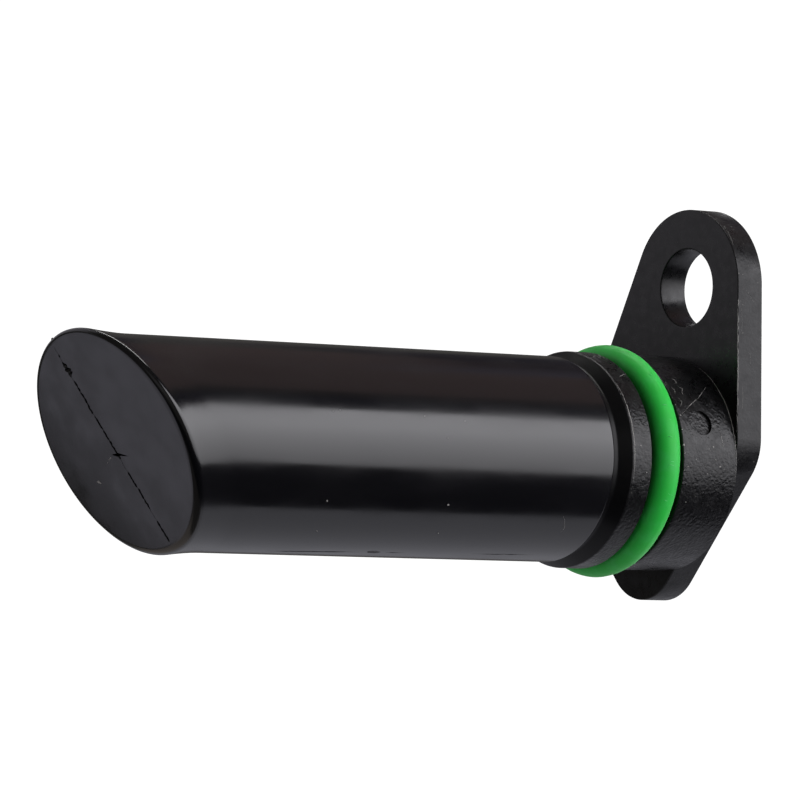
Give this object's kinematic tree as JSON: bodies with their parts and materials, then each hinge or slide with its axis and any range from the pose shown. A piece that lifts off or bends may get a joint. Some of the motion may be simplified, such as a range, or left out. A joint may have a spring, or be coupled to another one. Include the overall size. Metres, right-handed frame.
{
  "type": "camshaft position sensor",
  "caption": "Engine speed and position sensor: glossy barrel with an obliquely closed tip, green sealing ring, flat one-bolt flange and a right-angle plug socket behind it.",
  "frame": {"origin": "where the barrel's axis meets the plane of the flange's mating face", "axes": "-X along the barrel towards its sensing tip, +Z towards the bolt eye, +Y the way the plug socket opens"},
  "size_m": [0.0794, 0.0402, 0.0345],
  "materials": {
    "gloss_black_plastic": "polished moulded black plastic",
    "matte_black_plastic": "spark-eroded matte moulded black plastic",
    "green_rubber": "satin green moulded rubber",
    "tinned_brass": "stamped brass with a dull tin plating",
    "magnet_nickel": "nickel-plated sintered magnet",
    "steel": "plain punched steel",
    "capacitor_body": "fired ceramic, tan"
  },
  "bodies": {
    "root": {"barrel_sleeve": "gloss_black_plastic", "flange_housing": "matte_black_plastic", "o_ring": "green_rubber", "element_carrier": "matte_black_plastic", "hall_ic": "matte_black_plastic", "bias_magnet": "magnet_nickel", "pole_disc": "steel", "capacitor_supply": "capacitor_body", "capacitor_ground": "capacitor_body", "terminal_supply": "tinned_brass", "hall_lead_supply": "tinned_brass", "terminal_signal": "tinned_brass", "hall_lead_signal": "tinned_brass", "terminal_ground": "tinned_brass", "hall_lead_ground": "tinned_brass"}
  },
  "joints": []
}
